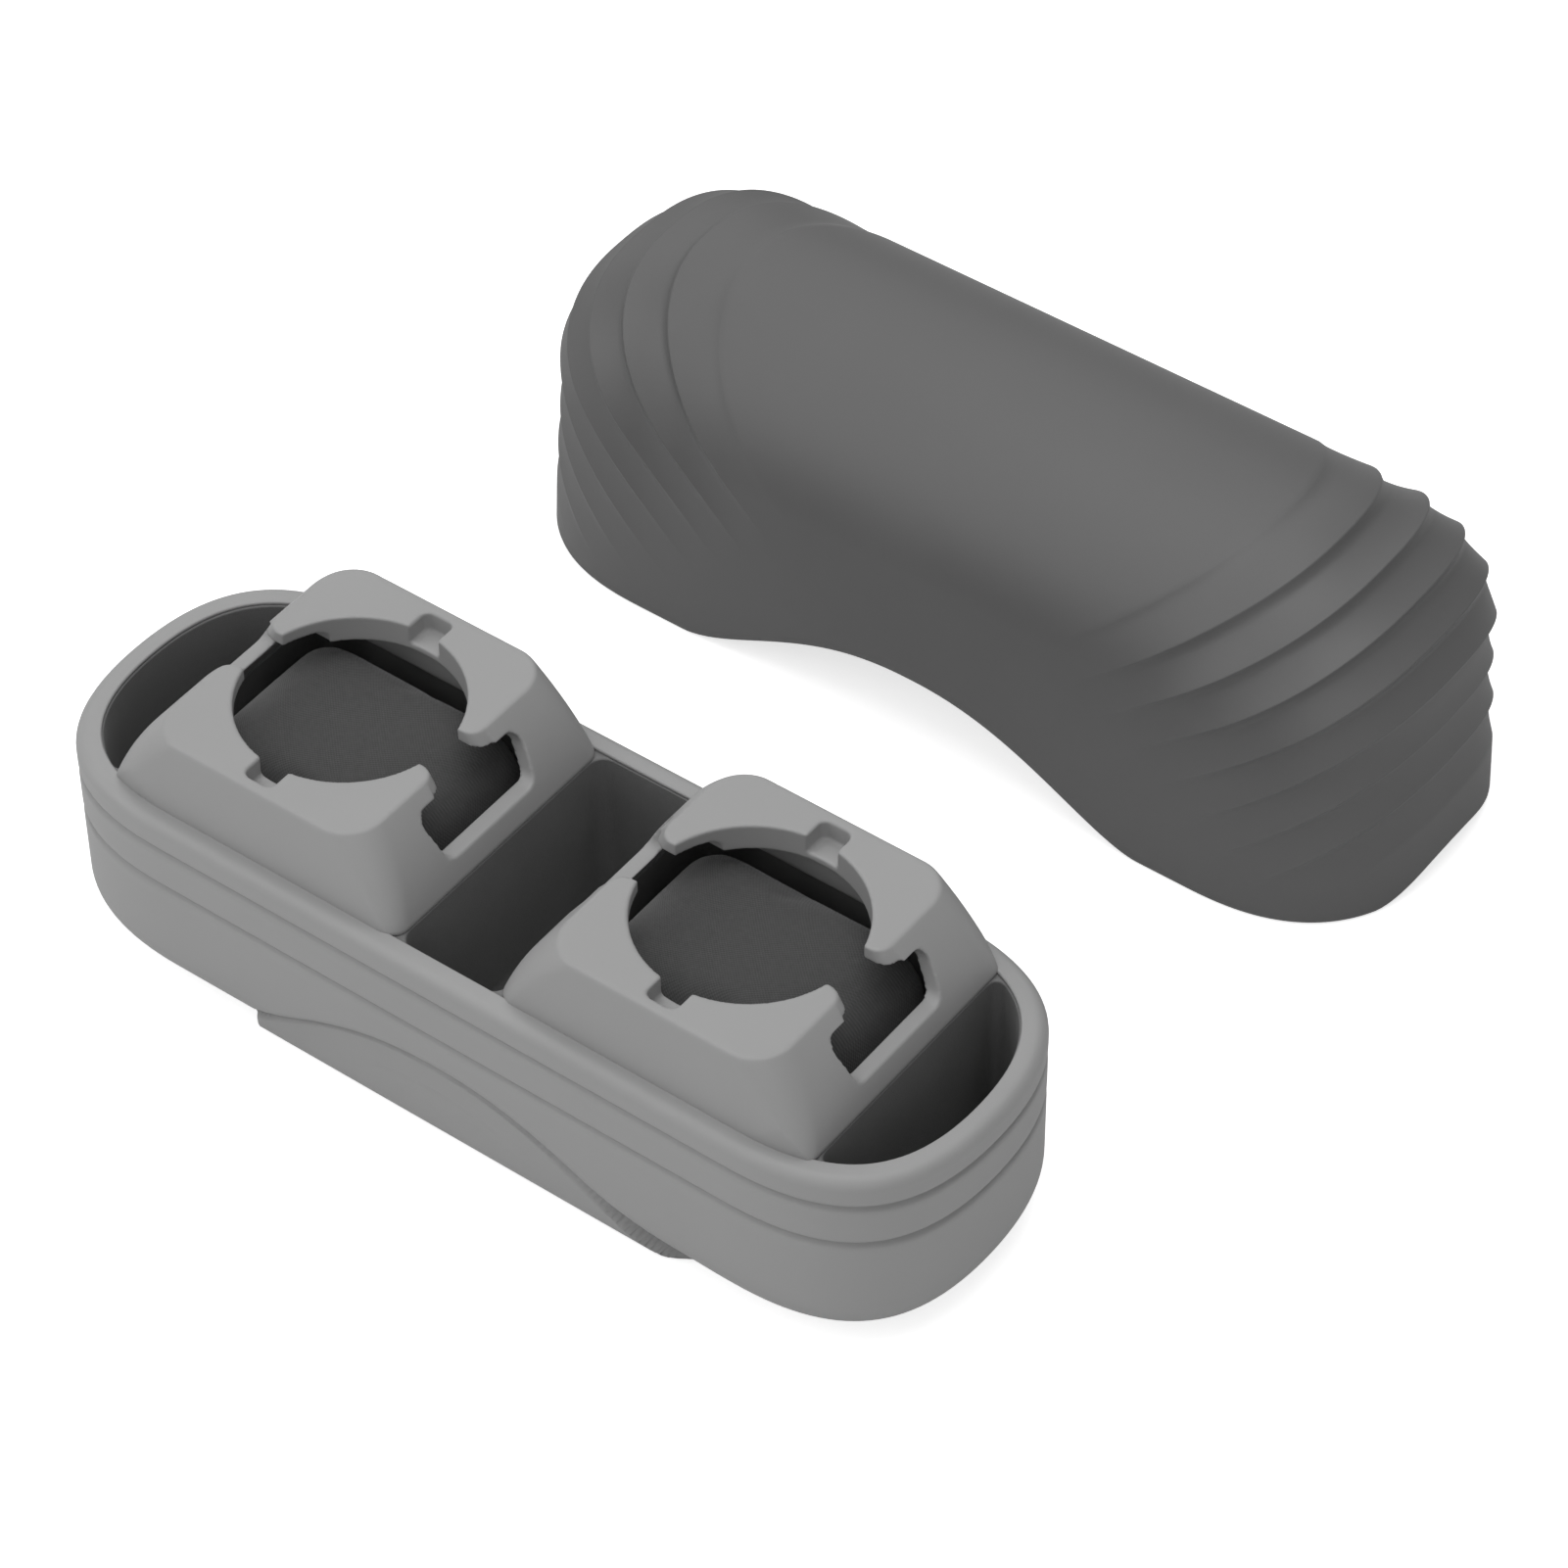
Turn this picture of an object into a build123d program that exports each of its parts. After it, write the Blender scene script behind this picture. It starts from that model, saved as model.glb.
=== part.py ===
from build123d import *
from math import cos, pi, radians, sin, sqrt
import os

os.makedirs("parts", exist_ok=True)

# The case stands on z = 0 with its length along X. The lid stands behind the base, rim down.

# Seats: the case is sized outwards from the two round seats
seat_radius = 22.0
seat_side_land = 7.5
seat_end_land = 3.3

# Cradle caps
cap_rise = 17.4
cap_side_draft = 1.5
cap_end_draft = 9.9
cap_bulge = 1.3
cap_foot_corner = 4.0
cap_top_corner = 8.5
cap_clearance = 0.2
cap_wall = 2.4
cap_top_wall = 6.2
cap_edge_round = 0.9
notch_half_width = 3.4
notch_past_seat = 5.0
notch_depth = 4.5
notch_corner = 1.6
neck_half_width = 5.6
neck_lobe = 3.2
slot_half_width = 15.0
slot_low = 4.3
slot_high = 14.4
slot_taper = 2.4
slot_corner = 2.6
slot_inside_seat = 5.0

# Pockets between and beyond the cradles
middle_pocket_length = 23.2
end_pocket_length = 16.65

# Plan outline: straight sides and full, rounded ends
base_end_reach = 35.6
end_fullness_share = 0.69
corner_power_share = 2.5

# Base shell
base_height = 46.7
shell_wall = 3.8
shell_floor = 3.4
bottom_round = 12.0
cavity_round = 8.0
rim_outer_round = 2.4
rim_inner_round = 0.7
groove_width = 1.5
groove_depth = 0.8
upper_groove_drop = 7.0
lower_groove_drop = 16.8

# Foot panel, set back a little below the shell's arched lower edge
panel_inset = 1.0
panel_bottom_round = 7.1
foot_lift = 1.2
panel_half_length = 49.0
closed_rim_height = 4.4
panel_edge_round = 0.7

# Lining tub with five wells
lining_clearance = 0.15
lining_wall = 1.0
lining_floor = 1.6
lining_drop = 0.8
divider_wall = 2.4
pocket_corner = 5.0
pocket_corner_share = 0.3
well_corner = 3.0
corner_trim = 0.3

# Watch cushions, which fill the wells below the seats
cushion_end_room = 4.4
cushion_side_room = 10.0
cushion_rise = 8.6
cushion_shoulder = 13.0
cushion_foot_round = 5.0
cushion_side_round = 4.0
soft_gap = 0.3

# Lid
lid_height = 72.8
lid_wall = 2.2
lid_gap = 0.5
lid_crown_rise = 28.8
lid_draft_share = 0.035
crown_wall = 3.0
lid_back = 141.4
lid_aside = 6.9
lining_pad = 1.2
lining_pad_height = 60.0

# Waves of the lid rim
side_arch_rise = 17.6
side_arch_half_span = 56.0
end_arch_rise = 5.0
end_arch_half_span = 21.0

# Terraces at both ends of the lid, bounded by planes that rise towards the ends
terrace_slope_share = 0.88
terrace_count = 8
first_terrace_height = 15.0
terrace_spacing = 11.4
terrace_depth = 1.8
terrace_seam = 0.15
skirt_height = 20.0
skirt_step = 0.2
terrace_depth_shares = [0.25, 1.0, 0.85, 0.7, 0.6, 0.5, 0.45, 0.4]
fade_start = 22.0
fade_step = 8.0
fade_run = 32.0

arch_shoulder_share = 2.2
arch_flare_share = 1.7
arch_steps = 8

overrun = 5.0
tail_overrun = 15.0

# Sizes that follow from the seats, walls and clearances
cap_top_half_length = seat_radius + seat_end_land
cap_top_half_width = seat_radius + seat_side_land
cap_half_length = cap_top_half_length + cap_end_draft
cap_half_width = cap_top_half_width + cap_side_draft
cradle_x = middle_pocket_length / 2 + cap_half_length
cavity_half_width = cap_half_width + cap_clearance
cavity_end_reach = base_end_reach - shell_wall
base_half_width = cavity_half_width + shell_wall
lining_half_width = cavity_half_width - lining_clearance
lining_end_reach = cavity_end_reach - lining_clearance
pocket_far = cradle_x + cap_half_length
straight_length = 2 * (pocket_far + end_pocket_length - lining_end_reach)


def oval(half_width, end_reach):
    """Draw one long-sided oval in the current BuildLine."""
    straight = straight_length / 2
    reach = straight + end_reach
    bend = straight + end_fullness_share * end_reach
    shoulder = end_fullness_share * half_width
    Line((-straight, half_width), (straight, half_width))
    Bezier((straight, half_width), (bend, half_width), (reach, shoulder), (reach, 0))
    Bezier((reach, 0), (reach, -shoulder), (bend, -half_width), (straight, -half_width))
    Line((straight, -half_width), (-straight, -half_width))
    Bezier((-straight, -half_width), (-bend, -half_width), (-reach, -shoulder), (-reach, 0))
    Bezier((-reach, 0), (-reach, shoulder), (-bend, half_width), (-straight, half_width))


def arch_points(rise, half_span, base_level):
    """Points of the wavy rim from its left foot over the crown to its right foot."""
    points = []
    for step in range(-arch_steps // 2, arch_steps // 2 + 1):
        across = 2 * step / arch_steps
        height = (1 - abs(across) ** arch_shoulder_share) ** arch_flare_share
        points.append((half_span * across, base_level + rise * height))
    return points


def panel_edge():
    """Points of the shell's lower edge, the curve of the closed lid's rim, over the panel."""
    points = []
    for step in range(-arch_steps // 2, arch_steps // 2 + 1):
        x = panel_half_length * 2 * step / arch_steps
        height = (1 - abs(x / side_arch_half_span) ** arch_shoulder_share) ** arch_flare_share
        points.append((x, closed_rim_height + side_arch_rise * height))
    return points


# Base shell: a filleted tub with two grooves round its collar and the arched foot panel
with BuildPart() as base_shell:
    with BuildSketch(Plane.XY.offset(foot_lift)):
        with BuildLine():
            oval(base_half_width, base_end_reach)
        make_face()
    extrude(amount=base_height - foot_lift)
    fillet(base_shell.faces().sort_by(Axis.Z)[0].edges(), bottom_round)
    fillet(base_shell.faces().sort_by(Axis.Z)[-1].edges(), rim_outer_round)

    for groove_drop in (upper_groove_drop, lower_groove_drop):
        with BuildSketch(Plane.XY.offset(base_height - groove_drop - groove_width / 2)):
            with BuildLine():
                oval(base_half_width + overrun, base_end_reach + overrun)
            make_face()
            with BuildLine():
                oval(base_half_width - groove_depth, base_end_reach - groove_depth)
            make_face(mode=Mode.SUBTRACT)
        extrude(amount=groove_width, mode=Mode.SUBTRACT)

with BuildPart() as panel_space:
    with BuildSketch(Plane.XZ):
        with BuildLine():
            edge = panel_edge()
            Spline(edge)
            Line(edge[0], (-panel_half_length, -overrun))
            Line((-panel_half_length, -overrun), (panel_half_length, -overrun))
            Line((panel_half_length, -overrun), edge[-1])
        make_face()
    extrude(amount=base_half_width + overrun, both=True)

with BuildPart() as foot_panel:
    with BuildSketch():
        with BuildLine():
            oval(base_half_width - panel_inset, base_end_reach - panel_inset)
        make_face()
    extrude(amount=base_height)
    fillet(foot_panel.faces().sort_by(Axis.Z)[0].edges(), panel_bottom_round)
    add(panel_space.part, mode=Mode.INTERSECT)

with BuildPart() as panel_recess:
    add(panel_space.part)
    with BuildSketch(Plane.XY.offset(-overrun)):
        with BuildLine():
            oval(base_half_width - panel_inset, base_end_reach - panel_inset)
        make_face()
    extrude(amount=base_height, mode=Mode.SUBTRACT)

with BuildPart() as shell_cavity:
    with BuildSketch(Plane.XY.offset(foot_lift + shell_floor)):
        with BuildLine():
            oval(cavity_half_width, cavity_end_reach)
        make_face()
    extrude(amount=base_height + overrun)
    fillet(shell_cavity.faces().sort_by(Axis.Z)[0].edges(), cavity_round)

with BuildPart() as base_body:
    add(base_shell.part)
    add(panel_recess.part, mode=Mode.SUBTRACT)
    arch_edges = base_body.edges().filter_by(GeomType.BSPLINE)
    for group in (0, -1):
        fillet(arch_edges.group_by(Axis.Y)[group], panel_edge_round)
    add(foot_panel.part)
    add(shell_cavity.part, mode=Mode.SUBTRACT)
    rim_face = base_body.faces().filter_by(Axis.Z).sort_by(Axis.Z)[-1]
    fillet(rim_face.inner_wires()[0].edges(), rim_inner_round)
base_body.part.label = "base_shell"
export_step(base_body.part, "parts/base_shell.step")

# Base lining: a dark tub whose four dividers make three pockets and two cradle wells
lining_top = base_height - lining_drop
lining_bottom = foot_lift + shell_floor + lining_clearance
well_floor = lining_bottom + lining_floor
end_pocket_middle = pocket_far + end_pocket_length / 2
pocket_middles = [-end_pocket_middle, 0, end_pocket_middle]
pocket_lengths = [end_pocket_length, middle_pocket_length, end_pocket_length]
with BuildPart() as rounded_space:
    with BuildSketch(Plane.XY.offset(well_floor)):
        with BuildLine():
            oval(
                lining_half_width - lining_wall + corner_trim,
                lining_end_reach - lining_wall + corner_trim,
            )
        make_face()
    extrude(amount=lining_top + overrun)
    floor_face = rounded_space.faces().sort_by(Axis.Z)[0]
    fillet(floor_face.edges(), cavity_round - lining_clearance - lining_wall)

with BuildPart() as well_spaces:
    for middle, length in zip(pocket_middles, pocket_lengths):
        with BuildSketch(Plane.XY.offset(well_floor)) as pocket_sketch:
            with BuildLine():
                oval(lining_half_width - lining_wall, lining_end_reach - lining_wall)
            make_face()
            with Locations((middle, 0)):
                Rectangle(length, 2 * base_half_width, mode=Mode.INTERSECT)
            fillet(pocket_sketch.vertices(), min(pocket_corner, pocket_corner_share * length))
        extrude(amount=lining_top)
    with BuildSketch(Plane.XY.offset(well_floor)):
        with Locations((-cradle_x, 0), (cradle_x, 0)):
            RectangleRounded(
                2 * (cap_half_length - divider_wall),
                2 * (lining_half_width - lining_wall),
                well_corner,
            )
    extrude(amount=lining_top)
    add(rounded_space.part, mode=Mode.INTERSECT)

with BuildPart() as base_lining:
    with BuildSketch(Plane.XY.offset(lining_bottom)):
        with BuildLine():
            oval(lining_half_width, lining_end_reach)
        make_face()
    extrude(amount=lining_top - lining_bottom)
    fillet(base_lining.faces().sort_by(Axis.Z)[0].edges(), cavity_round - lining_clearance)

    add(well_spaces.part, mode=Mode.SUBTRACT)
base_lining.part.label = "base_lining"
export_step(base_lining.part, "parts/base_lining.step")

# Cradle caps: tapered, bulged blocks with a round seat, crown notches and strap slots
cap_bottom = lining_top
cap_top = base_height + cap_rise
cap_middle_height = base_height + cap_rise / 2


def cap_sections(inset, top):
    """List half length, half width, corner and height of the cap's three levels."""
    middle_half_length = (cap_half_length + cap_top_half_length) / 2 + cap_bulge
    middle_half_width = (cap_half_width + cap_top_half_width) / 2
    middle_corner = (cap_foot_corner + cap_top_corner) / 2
    return [
        (cap_half_length - inset, cap_half_width - inset, cap_foot_corner, base_height),
        (middle_half_length - inset, middle_half_width - inset, middle_corner, cap_middle_height),
        (cap_top_half_length - inset, cap_top_half_width - inset, cap_top_corner, top),
    ]


def cradle_cap(middle):
    """Model the cap whose seat is centred at x = middle."""
    with BuildPart() as cap:
        for half_length, half_width, corner, level in cap_sections(0, cap_top):
            with BuildSketch(Plane.XY.offset(level)):
                with Locations((middle, 0)):
                    RectangleRounded(2 * half_length, 2 * half_width, corner)
        loft()
        with BuildSketch(Plane.XY.offset(cap_bottom)):
            with Locations((middle, 0)):
                RectangleRounded(2 * cap_half_length, 2 * cap_half_width, cap_foot_corner)
        extrude(amount=base_height - cap_bottom)
        with BuildSketch(Plane.XY.offset(cap_bottom)):
            with BuildLine():
                oval(cap_half_width, cavity_end_reach - cap_clearance)
            make_face()
        extrude(amount=cap_top, mode=Mode.INTERSECT)
        fillet(cap.faces().sort_by(Axis.Z)[-1].edges(), cap_edge_round)

        # The hollow below the thick top, open at the foot
        with BuildSketch(Plane.XY.offset(cap_bottom)):
            with Locations((middle, 0)):
                RectangleRounded(
                    2 * (cap_half_length - cap_wall),
                    2 * (cap_half_width - cap_wall),
                    cap_foot_corner - cap_wall / 2,
                )
        extrude(amount=base_height - cap_bottom, mode=Mode.SUBTRACT)
        hollow_top = cap_top - cap_top_wall
        taper = (cap_half_length - cap_top_half_length) * (hollow_top - base_height) / cap_rise
        for half_length, level in (
            (cap_half_length - cap_wall, base_height),
            (cap_half_length - cap_wall - taper, hollow_top),
        ):
            with BuildSketch(Plane.XY.offset(level)):
                with Locations((middle, 0)):
                    RectangleRounded(
                        2 * half_length,
                        2 * (cap_top_half_width - cap_wall),
                        cap_foot_corner - cap_wall / 2,
                    )
        loft(mode=Mode.SUBTRACT)

        # The round seat, right through the top
        with BuildSketch(Plane.XY.offset(hollow_top - overrun)):
            with Locations((middle, 0)):
                Circle(seat_radius)
        extrude(amount=cap_top_wall + 2 * overrun, mode=Mode.SUBTRACT)

        # Blind notches for a crown, front and back
        with BuildSketch(Plane.XY.offset(cap_top - notch_depth)):
            with Locations((middle, 0)):
                RectangleRounded(
                    2 * notch_half_width,
                    2 * (seat_radius + notch_past_seat),
                    notch_corner,
                )
        extrude(amount=notch_depth + overrun, mode=Mode.SUBTRACT)

        # Necks from the seat out through both flanks
        with BuildSketch(Plane.XY.offset(hollow_top - overrun)):
            with Locations((middle, 0)):
                Rectangle(2 * (cap_half_length + overrun), 2 * neck_half_width)
        extrude(amount=cap_top_wall + 2 * overrun, mode=Mode.SUBTRACT)

        # Rounded lobes where the necks leave the top, cut along the slope of the flank
        lobe_x = cap_top_half_length - neck_lobe
        lobe_y = neck_half_width + neck_lobe
        for side, face in ((-1, -1), (-1, 1), (1, -1), (1, 1)):
            with BuildSketch(Plane.XY.offset(cap_top)):
                with Locations((middle + side * (lobe_x + neck_lobe), face * neck_half_width)):
                    Rectangle(2 * neck_lobe, 2 * neck_lobe)
                with Locations((middle + side * lobe_x, face * lobe_y)):
                    Circle(neck_lobe, mode=Mode.SUBTRACT)
            extrude(
                amount=cap_top_wall,
                dir=(side * cap_end_draft, 0, -cap_rise),
                mode=Mode.SUBTRACT,
            )

        # Wide strap slots below the necks
        low = base_height + slot_low
        high = base_height + slot_high
        for side in (-1, 1):
            slot_plane = Plane(
                origin=(middle + side * (seat_radius - slot_inside_seat), 0, 0),
                x_dir=(0, 1, 0),
                z_dir=(side, 0, 0),
            )
            with BuildSketch(slot_plane) as slot_sketch:
                with BuildLine():
                    Polyline(
                        (-slot_half_width + slot_taper, side * low),
                        (slot_half_width - slot_taper, side * low),
                        (slot_half_width, side * high),
                        (-slot_half_width, side * high),
                        close=True,
                    )
                make_face()
                fillet(slot_sketch.vertices(), slot_corner)
            extrude(amount=cap_half_length, mode=Mode.SUBTRACT)
    return cap


for name, side in (("cradle_left", -1), ("cradle_right", 1)):
    cradle = cradle_cap(side * cradle_x)
    cradle.part.label = name
    export_step(cradle.part, f"parts/{name}.step")

# Watch cushions: blocks with a rounded crown that stand in the wells below the seats
cushion_bottom = well_floor
cushion_top = base_height + cushion_rise
cushion_half_length = cap_half_length - divider_wall - cushion_end_room
cushion_half_width = lining_half_width - lining_wall - cushion_side_room
for name, side in (("cushion_left", -1), ("cushion_right", 1)):
    with BuildPart() as cushion:
        with BuildSketch(Plane.XZ) as cushion_profile:
            with Locations((side * cradle_x, (cushion_bottom + cushion_top) / 2)):
                Rectangle(2 * cushion_half_length, cushion_top - cushion_bottom)
            fillet(cushion_profile.vertices().group_by(Axis.Y)[-1], cushion_shoulder)
            fillet(cushion_profile.vertices().group_by(Axis.Y)[0], cushion_foot_round)
        extrude(amount=cushion_half_width, both=True)
        side_faces = cushion.faces().filter_by(Axis.Y)
        fillet(side_faces.edges(), cushion_side_round)
    cushion.part.label = name
    export_step(cushion.part, f"parts/{name}.step")

# Lid: its outside is a smooth arch in the middle and eight terraces at each end
lid_half_width = base_half_width + lid_gap + lid_wall
lid_end_reach = base_end_reach + lid_gap + lid_wall
lid_shoulder_height = lid_height - lid_crown_rise
shoulder_half_width = lid_half_width - lid_draft_share * lid_shoulder_height


def dome_half_width(x, z, recess, start):
    """Half width of the dome at length x and height z, 0 outside it."""
    share = min(max((x - start) / fade_run, 0), 1)
    inset = recess * share * share * (3 - 2 * share) + (terrace_seam if recess else 0)
    wall = lid_half_width - lid_draft_share * min(z, lid_shoulder_height) - inset
    if z > lid_shoulder_height:
        climb_share = (z - lid_shoulder_height) / (lid_crown_rise - inset)
        wall *= sqrt(max(1 - climb_share * climb_share, 0))
    if wall <= 0:
        return 0
    past_share = max(x - straight_length / 2, 0) / (wall * lid_end_reach / lid_half_width)
    if past_share >= 1:
        return 0
    return wall * (1 - past_share**corner_power_share) ** (1 / corner_power_share)


def terrace_outline(level, recess, start):
    """Points where the dome meets the tilted plane, in the plane's own axes."""
    slope = terrace_slope_share
    low = max(-tail_overrun, level - slope * overrun)
    inside, outside = low, lid_height
    for _ in range(60):
        middle = (inside + outside) / 2
        if dome_half_width((middle - level) / slope, middle, recess, start) > 0:
            inside = middle
        else:
            outside = middle
    steps = 9
    points = []
    for step in range(steps + 1):
        height = low + (inside - low) * sin(step / steps * pi / 2)
        x = (height - level) / slope
        along = x * sqrt(1 + slope * slope)
        half = dome_half_width(x, height, recess, start) if step < steps else 0
        points.append((half, along))
    return points


def terrace_plane(level):
    """The tilted plane through (0, 0, level), its normal pointing down and out."""
    return Plane(origin=(0, 0, level), x_dir=(0, 1, 0), z_dir=(terrace_slope_share, 0, -1))


def draw_terrace(level, recess, start):
    """Draw the closed outline of one terrace edge in the current BuildLine."""
    right = terrace_outline(level, recess, start)
    left = [(-half, along) for half, along in right[-2::-1]]
    Spline(right + left)
    Line((-right[0][0], right[0][1]), right[0])


with BuildPart() as lid_end:
    for number in range(terrace_count + 1):
        upper = first_terrace_height - number * terrace_spacing
        lower = upper - terrace_spacing
        start = fade_start + number * fade_step
        depth_share = terrace_depth_shares[min(number, terrace_count - 1)]
        if number == terrace_count:
            depth_share = 0
            lower = upper - 2 * terrace_spacing
        with BuildSketch(terrace_plane(upper)):
            with BuildLine():
                draw_terrace(upper, terrace_depth * depth_share, start)
            make_face()
        with BuildSketch(terrace_plane(lower)):
            with BuildLine():
                draw_terrace(lower, 0, start)
            make_face()
        loft(ruled=True)
    split(bisect_by=Plane.YZ, keep=Keep.TOP)
    split(bisect_by=Plane.XY.offset(skirt_height), keep=Keep.TOP)

with BuildPart() as lid_cavity:
    inner_half_width = lid_half_width - lid_wall
    inner_end_reach = lid_end_reach - lid_wall
    draft = lid_draft_share * lid_shoulder_height
    with BuildSketch(Plane.XY.offset(-overrun)):
        with BuildLine():
            oval(inner_half_width, inner_end_reach)
        make_face()
    for angle in (0, 15, 30, 45, 60, 72, 82):
        spread = cos(radians(angle))
        level = lid_shoulder_height + (lid_crown_rise - crown_wall) * sin(radians(angle))
        with BuildSketch(Plane.XY.offset(level)):
            with BuildLine():
                oval((inner_half_width - draft) * spread, (inner_end_reach - draft) * spread)
            make_face()
    loft(ruled=True)

with BuildPart() as lid_shell:
    with BuildSketch(Plane.YZ):
        with BuildLine():
            Line((-lid_half_width, 0), (lid_half_width, 0))
            Line((lid_half_width, 0), (shoulder_half_width, lid_shoulder_height))
            EllipticalCenterArc(
                (0, lid_shoulder_height),
                shoulder_half_width,
                lid_crown_rise,
                start_angle=0,
                arc_size=180,
            )
            Line((-shoulder_half_width, lid_shoulder_height), (-lid_half_width, 0))
        make_face()
    extrude(amount=straight_length / 2, both=True)
    split(bisect_by=terrace_plane(first_terrace_height), keep=Keep.BOTTOM)
    split(bisect_by=Plane(
        origin=(0, 0, first_terrace_height), x_dir=(0, 1, 0), z_dir=(-terrace_slope_share, 0, -1)
    ), keep=Keep.BOTTOM)
    add(lid_end.part)
    add(mirror(lid_end.part, about=Plane.YZ))

    # The smooth skirt below the terraces
    for level in (0, skirt_height):
        draft = lid_draft_share * level
        with BuildSketch(Plane.XY.offset(level)):
            with BuildLine():
                oval(lid_half_width + skirt_step - draft, lid_end_reach + skirt_step - draft)
            make_face()
    loft(ruled=True)

    # The rim arches over the foot panel on each side, and a little at each end
    with BuildSketch(Plane.XZ):
        with BuildLine():
            Spline(arch_points(side_arch_rise, side_arch_half_span, 0), tangents=((1, 0), (1, 0)))
            Line((side_arch_half_span, 0), (side_arch_half_span, -overrun))
            Line((side_arch_half_span, -overrun), (-side_arch_half_span, -overrun))
            Line((-side_arch_half_span, -overrun), (-side_arch_half_span, 0))
        make_face()
    extrude(amount=lid_half_width + overrun, both=True, mode=Mode.SUBTRACT)
    with BuildSketch(Plane.YZ):
        with BuildLine():
            Spline(arch_points(end_arch_rise, end_arch_half_span, 0), tangents=((1, 0), (1, 0)))
            Line((end_arch_half_span, 0), (end_arch_half_span, -overrun))
            Line((end_arch_half_span, -overrun), (-end_arch_half_span, -overrun))
            Line((-end_arch_half_span, -overrun), (-end_arch_half_span, 0))
        make_face()
    extrude(amount=straight_length / 2 + lid_end_reach + overrun, both=True, mode=Mode.SUBTRACT)
    add(lid_cavity.part, mode=Mode.SUBTRACT)

# Crown pad: a soft lining under the lid's ceiling
with BuildPart() as crown_pad:
    add(Location((0, 0, -soft_gap)) * lid_cavity.part)
    split(bisect_by=Plane.XY.offset(lining_pad_height), keep=Keep.TOP)
    add(Location((0, 0, -soft_gap - lining_pad)) * lid_cavity.part, mode=Mode.SUBTRACT)

# The lid and its pad are drawn at the origin and stand behind the base
lid_place = Location((lid_aside, lid_back, 0))
for name, piece in (("lid_shell", lid_shell), ("lid_pad", crown_pad)):
    placed = lid_place * piece.part
    placed.label = name
    export_step(placed, f"parts/{name}.step")
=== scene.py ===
from math import cos, exp, hypot, pi, radians, sin, sqrt

import bmesh
import bpy
from mathutils import Matrix, Vector


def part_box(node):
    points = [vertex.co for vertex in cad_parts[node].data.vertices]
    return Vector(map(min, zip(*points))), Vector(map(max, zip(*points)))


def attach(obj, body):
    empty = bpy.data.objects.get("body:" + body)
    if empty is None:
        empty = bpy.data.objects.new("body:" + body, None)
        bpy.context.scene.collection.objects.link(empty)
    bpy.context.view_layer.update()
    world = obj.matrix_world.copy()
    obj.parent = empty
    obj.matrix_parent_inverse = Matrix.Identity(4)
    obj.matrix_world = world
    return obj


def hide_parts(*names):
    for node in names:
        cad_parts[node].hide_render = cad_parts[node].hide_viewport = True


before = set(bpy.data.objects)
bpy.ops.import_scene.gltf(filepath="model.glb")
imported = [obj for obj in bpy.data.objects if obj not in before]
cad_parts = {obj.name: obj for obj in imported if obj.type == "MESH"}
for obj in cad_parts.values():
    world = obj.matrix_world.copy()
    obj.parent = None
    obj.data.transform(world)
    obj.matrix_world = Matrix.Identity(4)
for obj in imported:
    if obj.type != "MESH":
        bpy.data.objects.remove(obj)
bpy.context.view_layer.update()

# Base shell: one moulding of satin soft-touch plastic, a long oval tub with a thick
# rounded rim and two soft grooves round its collar. On both long sides its lower edge
# turns in along an arch, and a set-back foot panel goes on to the floor. Lengths in mm.
MM = 0.001
base_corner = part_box("base_shell")[1] / MM
straight = 67.0
base_half_width = base_corner.y
base_end_reach = base_corner.x - straight
base_height = base_corner.z
fullness = 0.69
shell_wall = 3.8
shell_floor = 3.4
foot_lift = 1.2
bottom_round = 12.0
cavity_round = 8.0
rim_outer_round = 2.4
rim_inner_round = 0.4
rim_cover = 0.95
rim_cover_depth = 0.85
floor_ring_shares = (0, 0.4, 0.8)
inner_floor_ring_share = 0.5
bottom_steps = 30
rim_steps = 8
inner_steps = 6
wall_start = 0.4
wall_step = 0.42
fine_wall_step = 0.25
fine_wall_reach = 2.2
groove_levels = (base_height - 7.0, base_height - 16.8)
groove_depth = 1.1
groove_spread = 0.75
panel_inset = 1.6
panel_bottom_round = 4.2
panel_crisp_end = -47.5
panel_soft_end = 64.0
panel_end_lip = 0.9
panel_end_run = 15.0
panel_middle_start = 8.0
panel_middle_run = 12.0
long_side_share = 0.6
closed_rim_level = 2.0
arch_rise = 17.6
arch_half_span = 56.0
arch_middle = -3.0
arch_flatness = 2.2
arch_ease = 1.7
turn_in = 2.8
turn_in_height = 4.6
turn_in_growth_share = 0.06
turn_in_least_height = 2.0
arch_lip = 0.5
crease_level = 12.4
crease_fall_share = 0.0085
crease_depth = 0.25
crease_spread = 0.7
crease_half_span = 12.0
crease_run = 14.0
crease_floor = 1.0
side_steps = 224
bend_steps = 30


def smooth(share):
    """Ease from 0 to 1 as share does, flat beyond both ends."""
    share = min(max(share, 0), 1)
    return share * share * (3 - 2 * share)


def quarter_turn(steps):
    """Sine and cosine at even steps through a quarter turn."""
    for step in range(steps + 1):
        turn = step / steps * pi / 2
        yield sin(turn), cos(turn)


def quarter_bend(share):
    """Along and across shares of one full, rounded quarter of the oval's end."""
    rest = 1 - share
    along = 3 * rest * rest * share * fullness + 3 * rest * share**2 + share**3
    across = rest**3 + 3 * rest * rest * share + 3 * rest * share**2 * fullness
    return along, across


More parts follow.
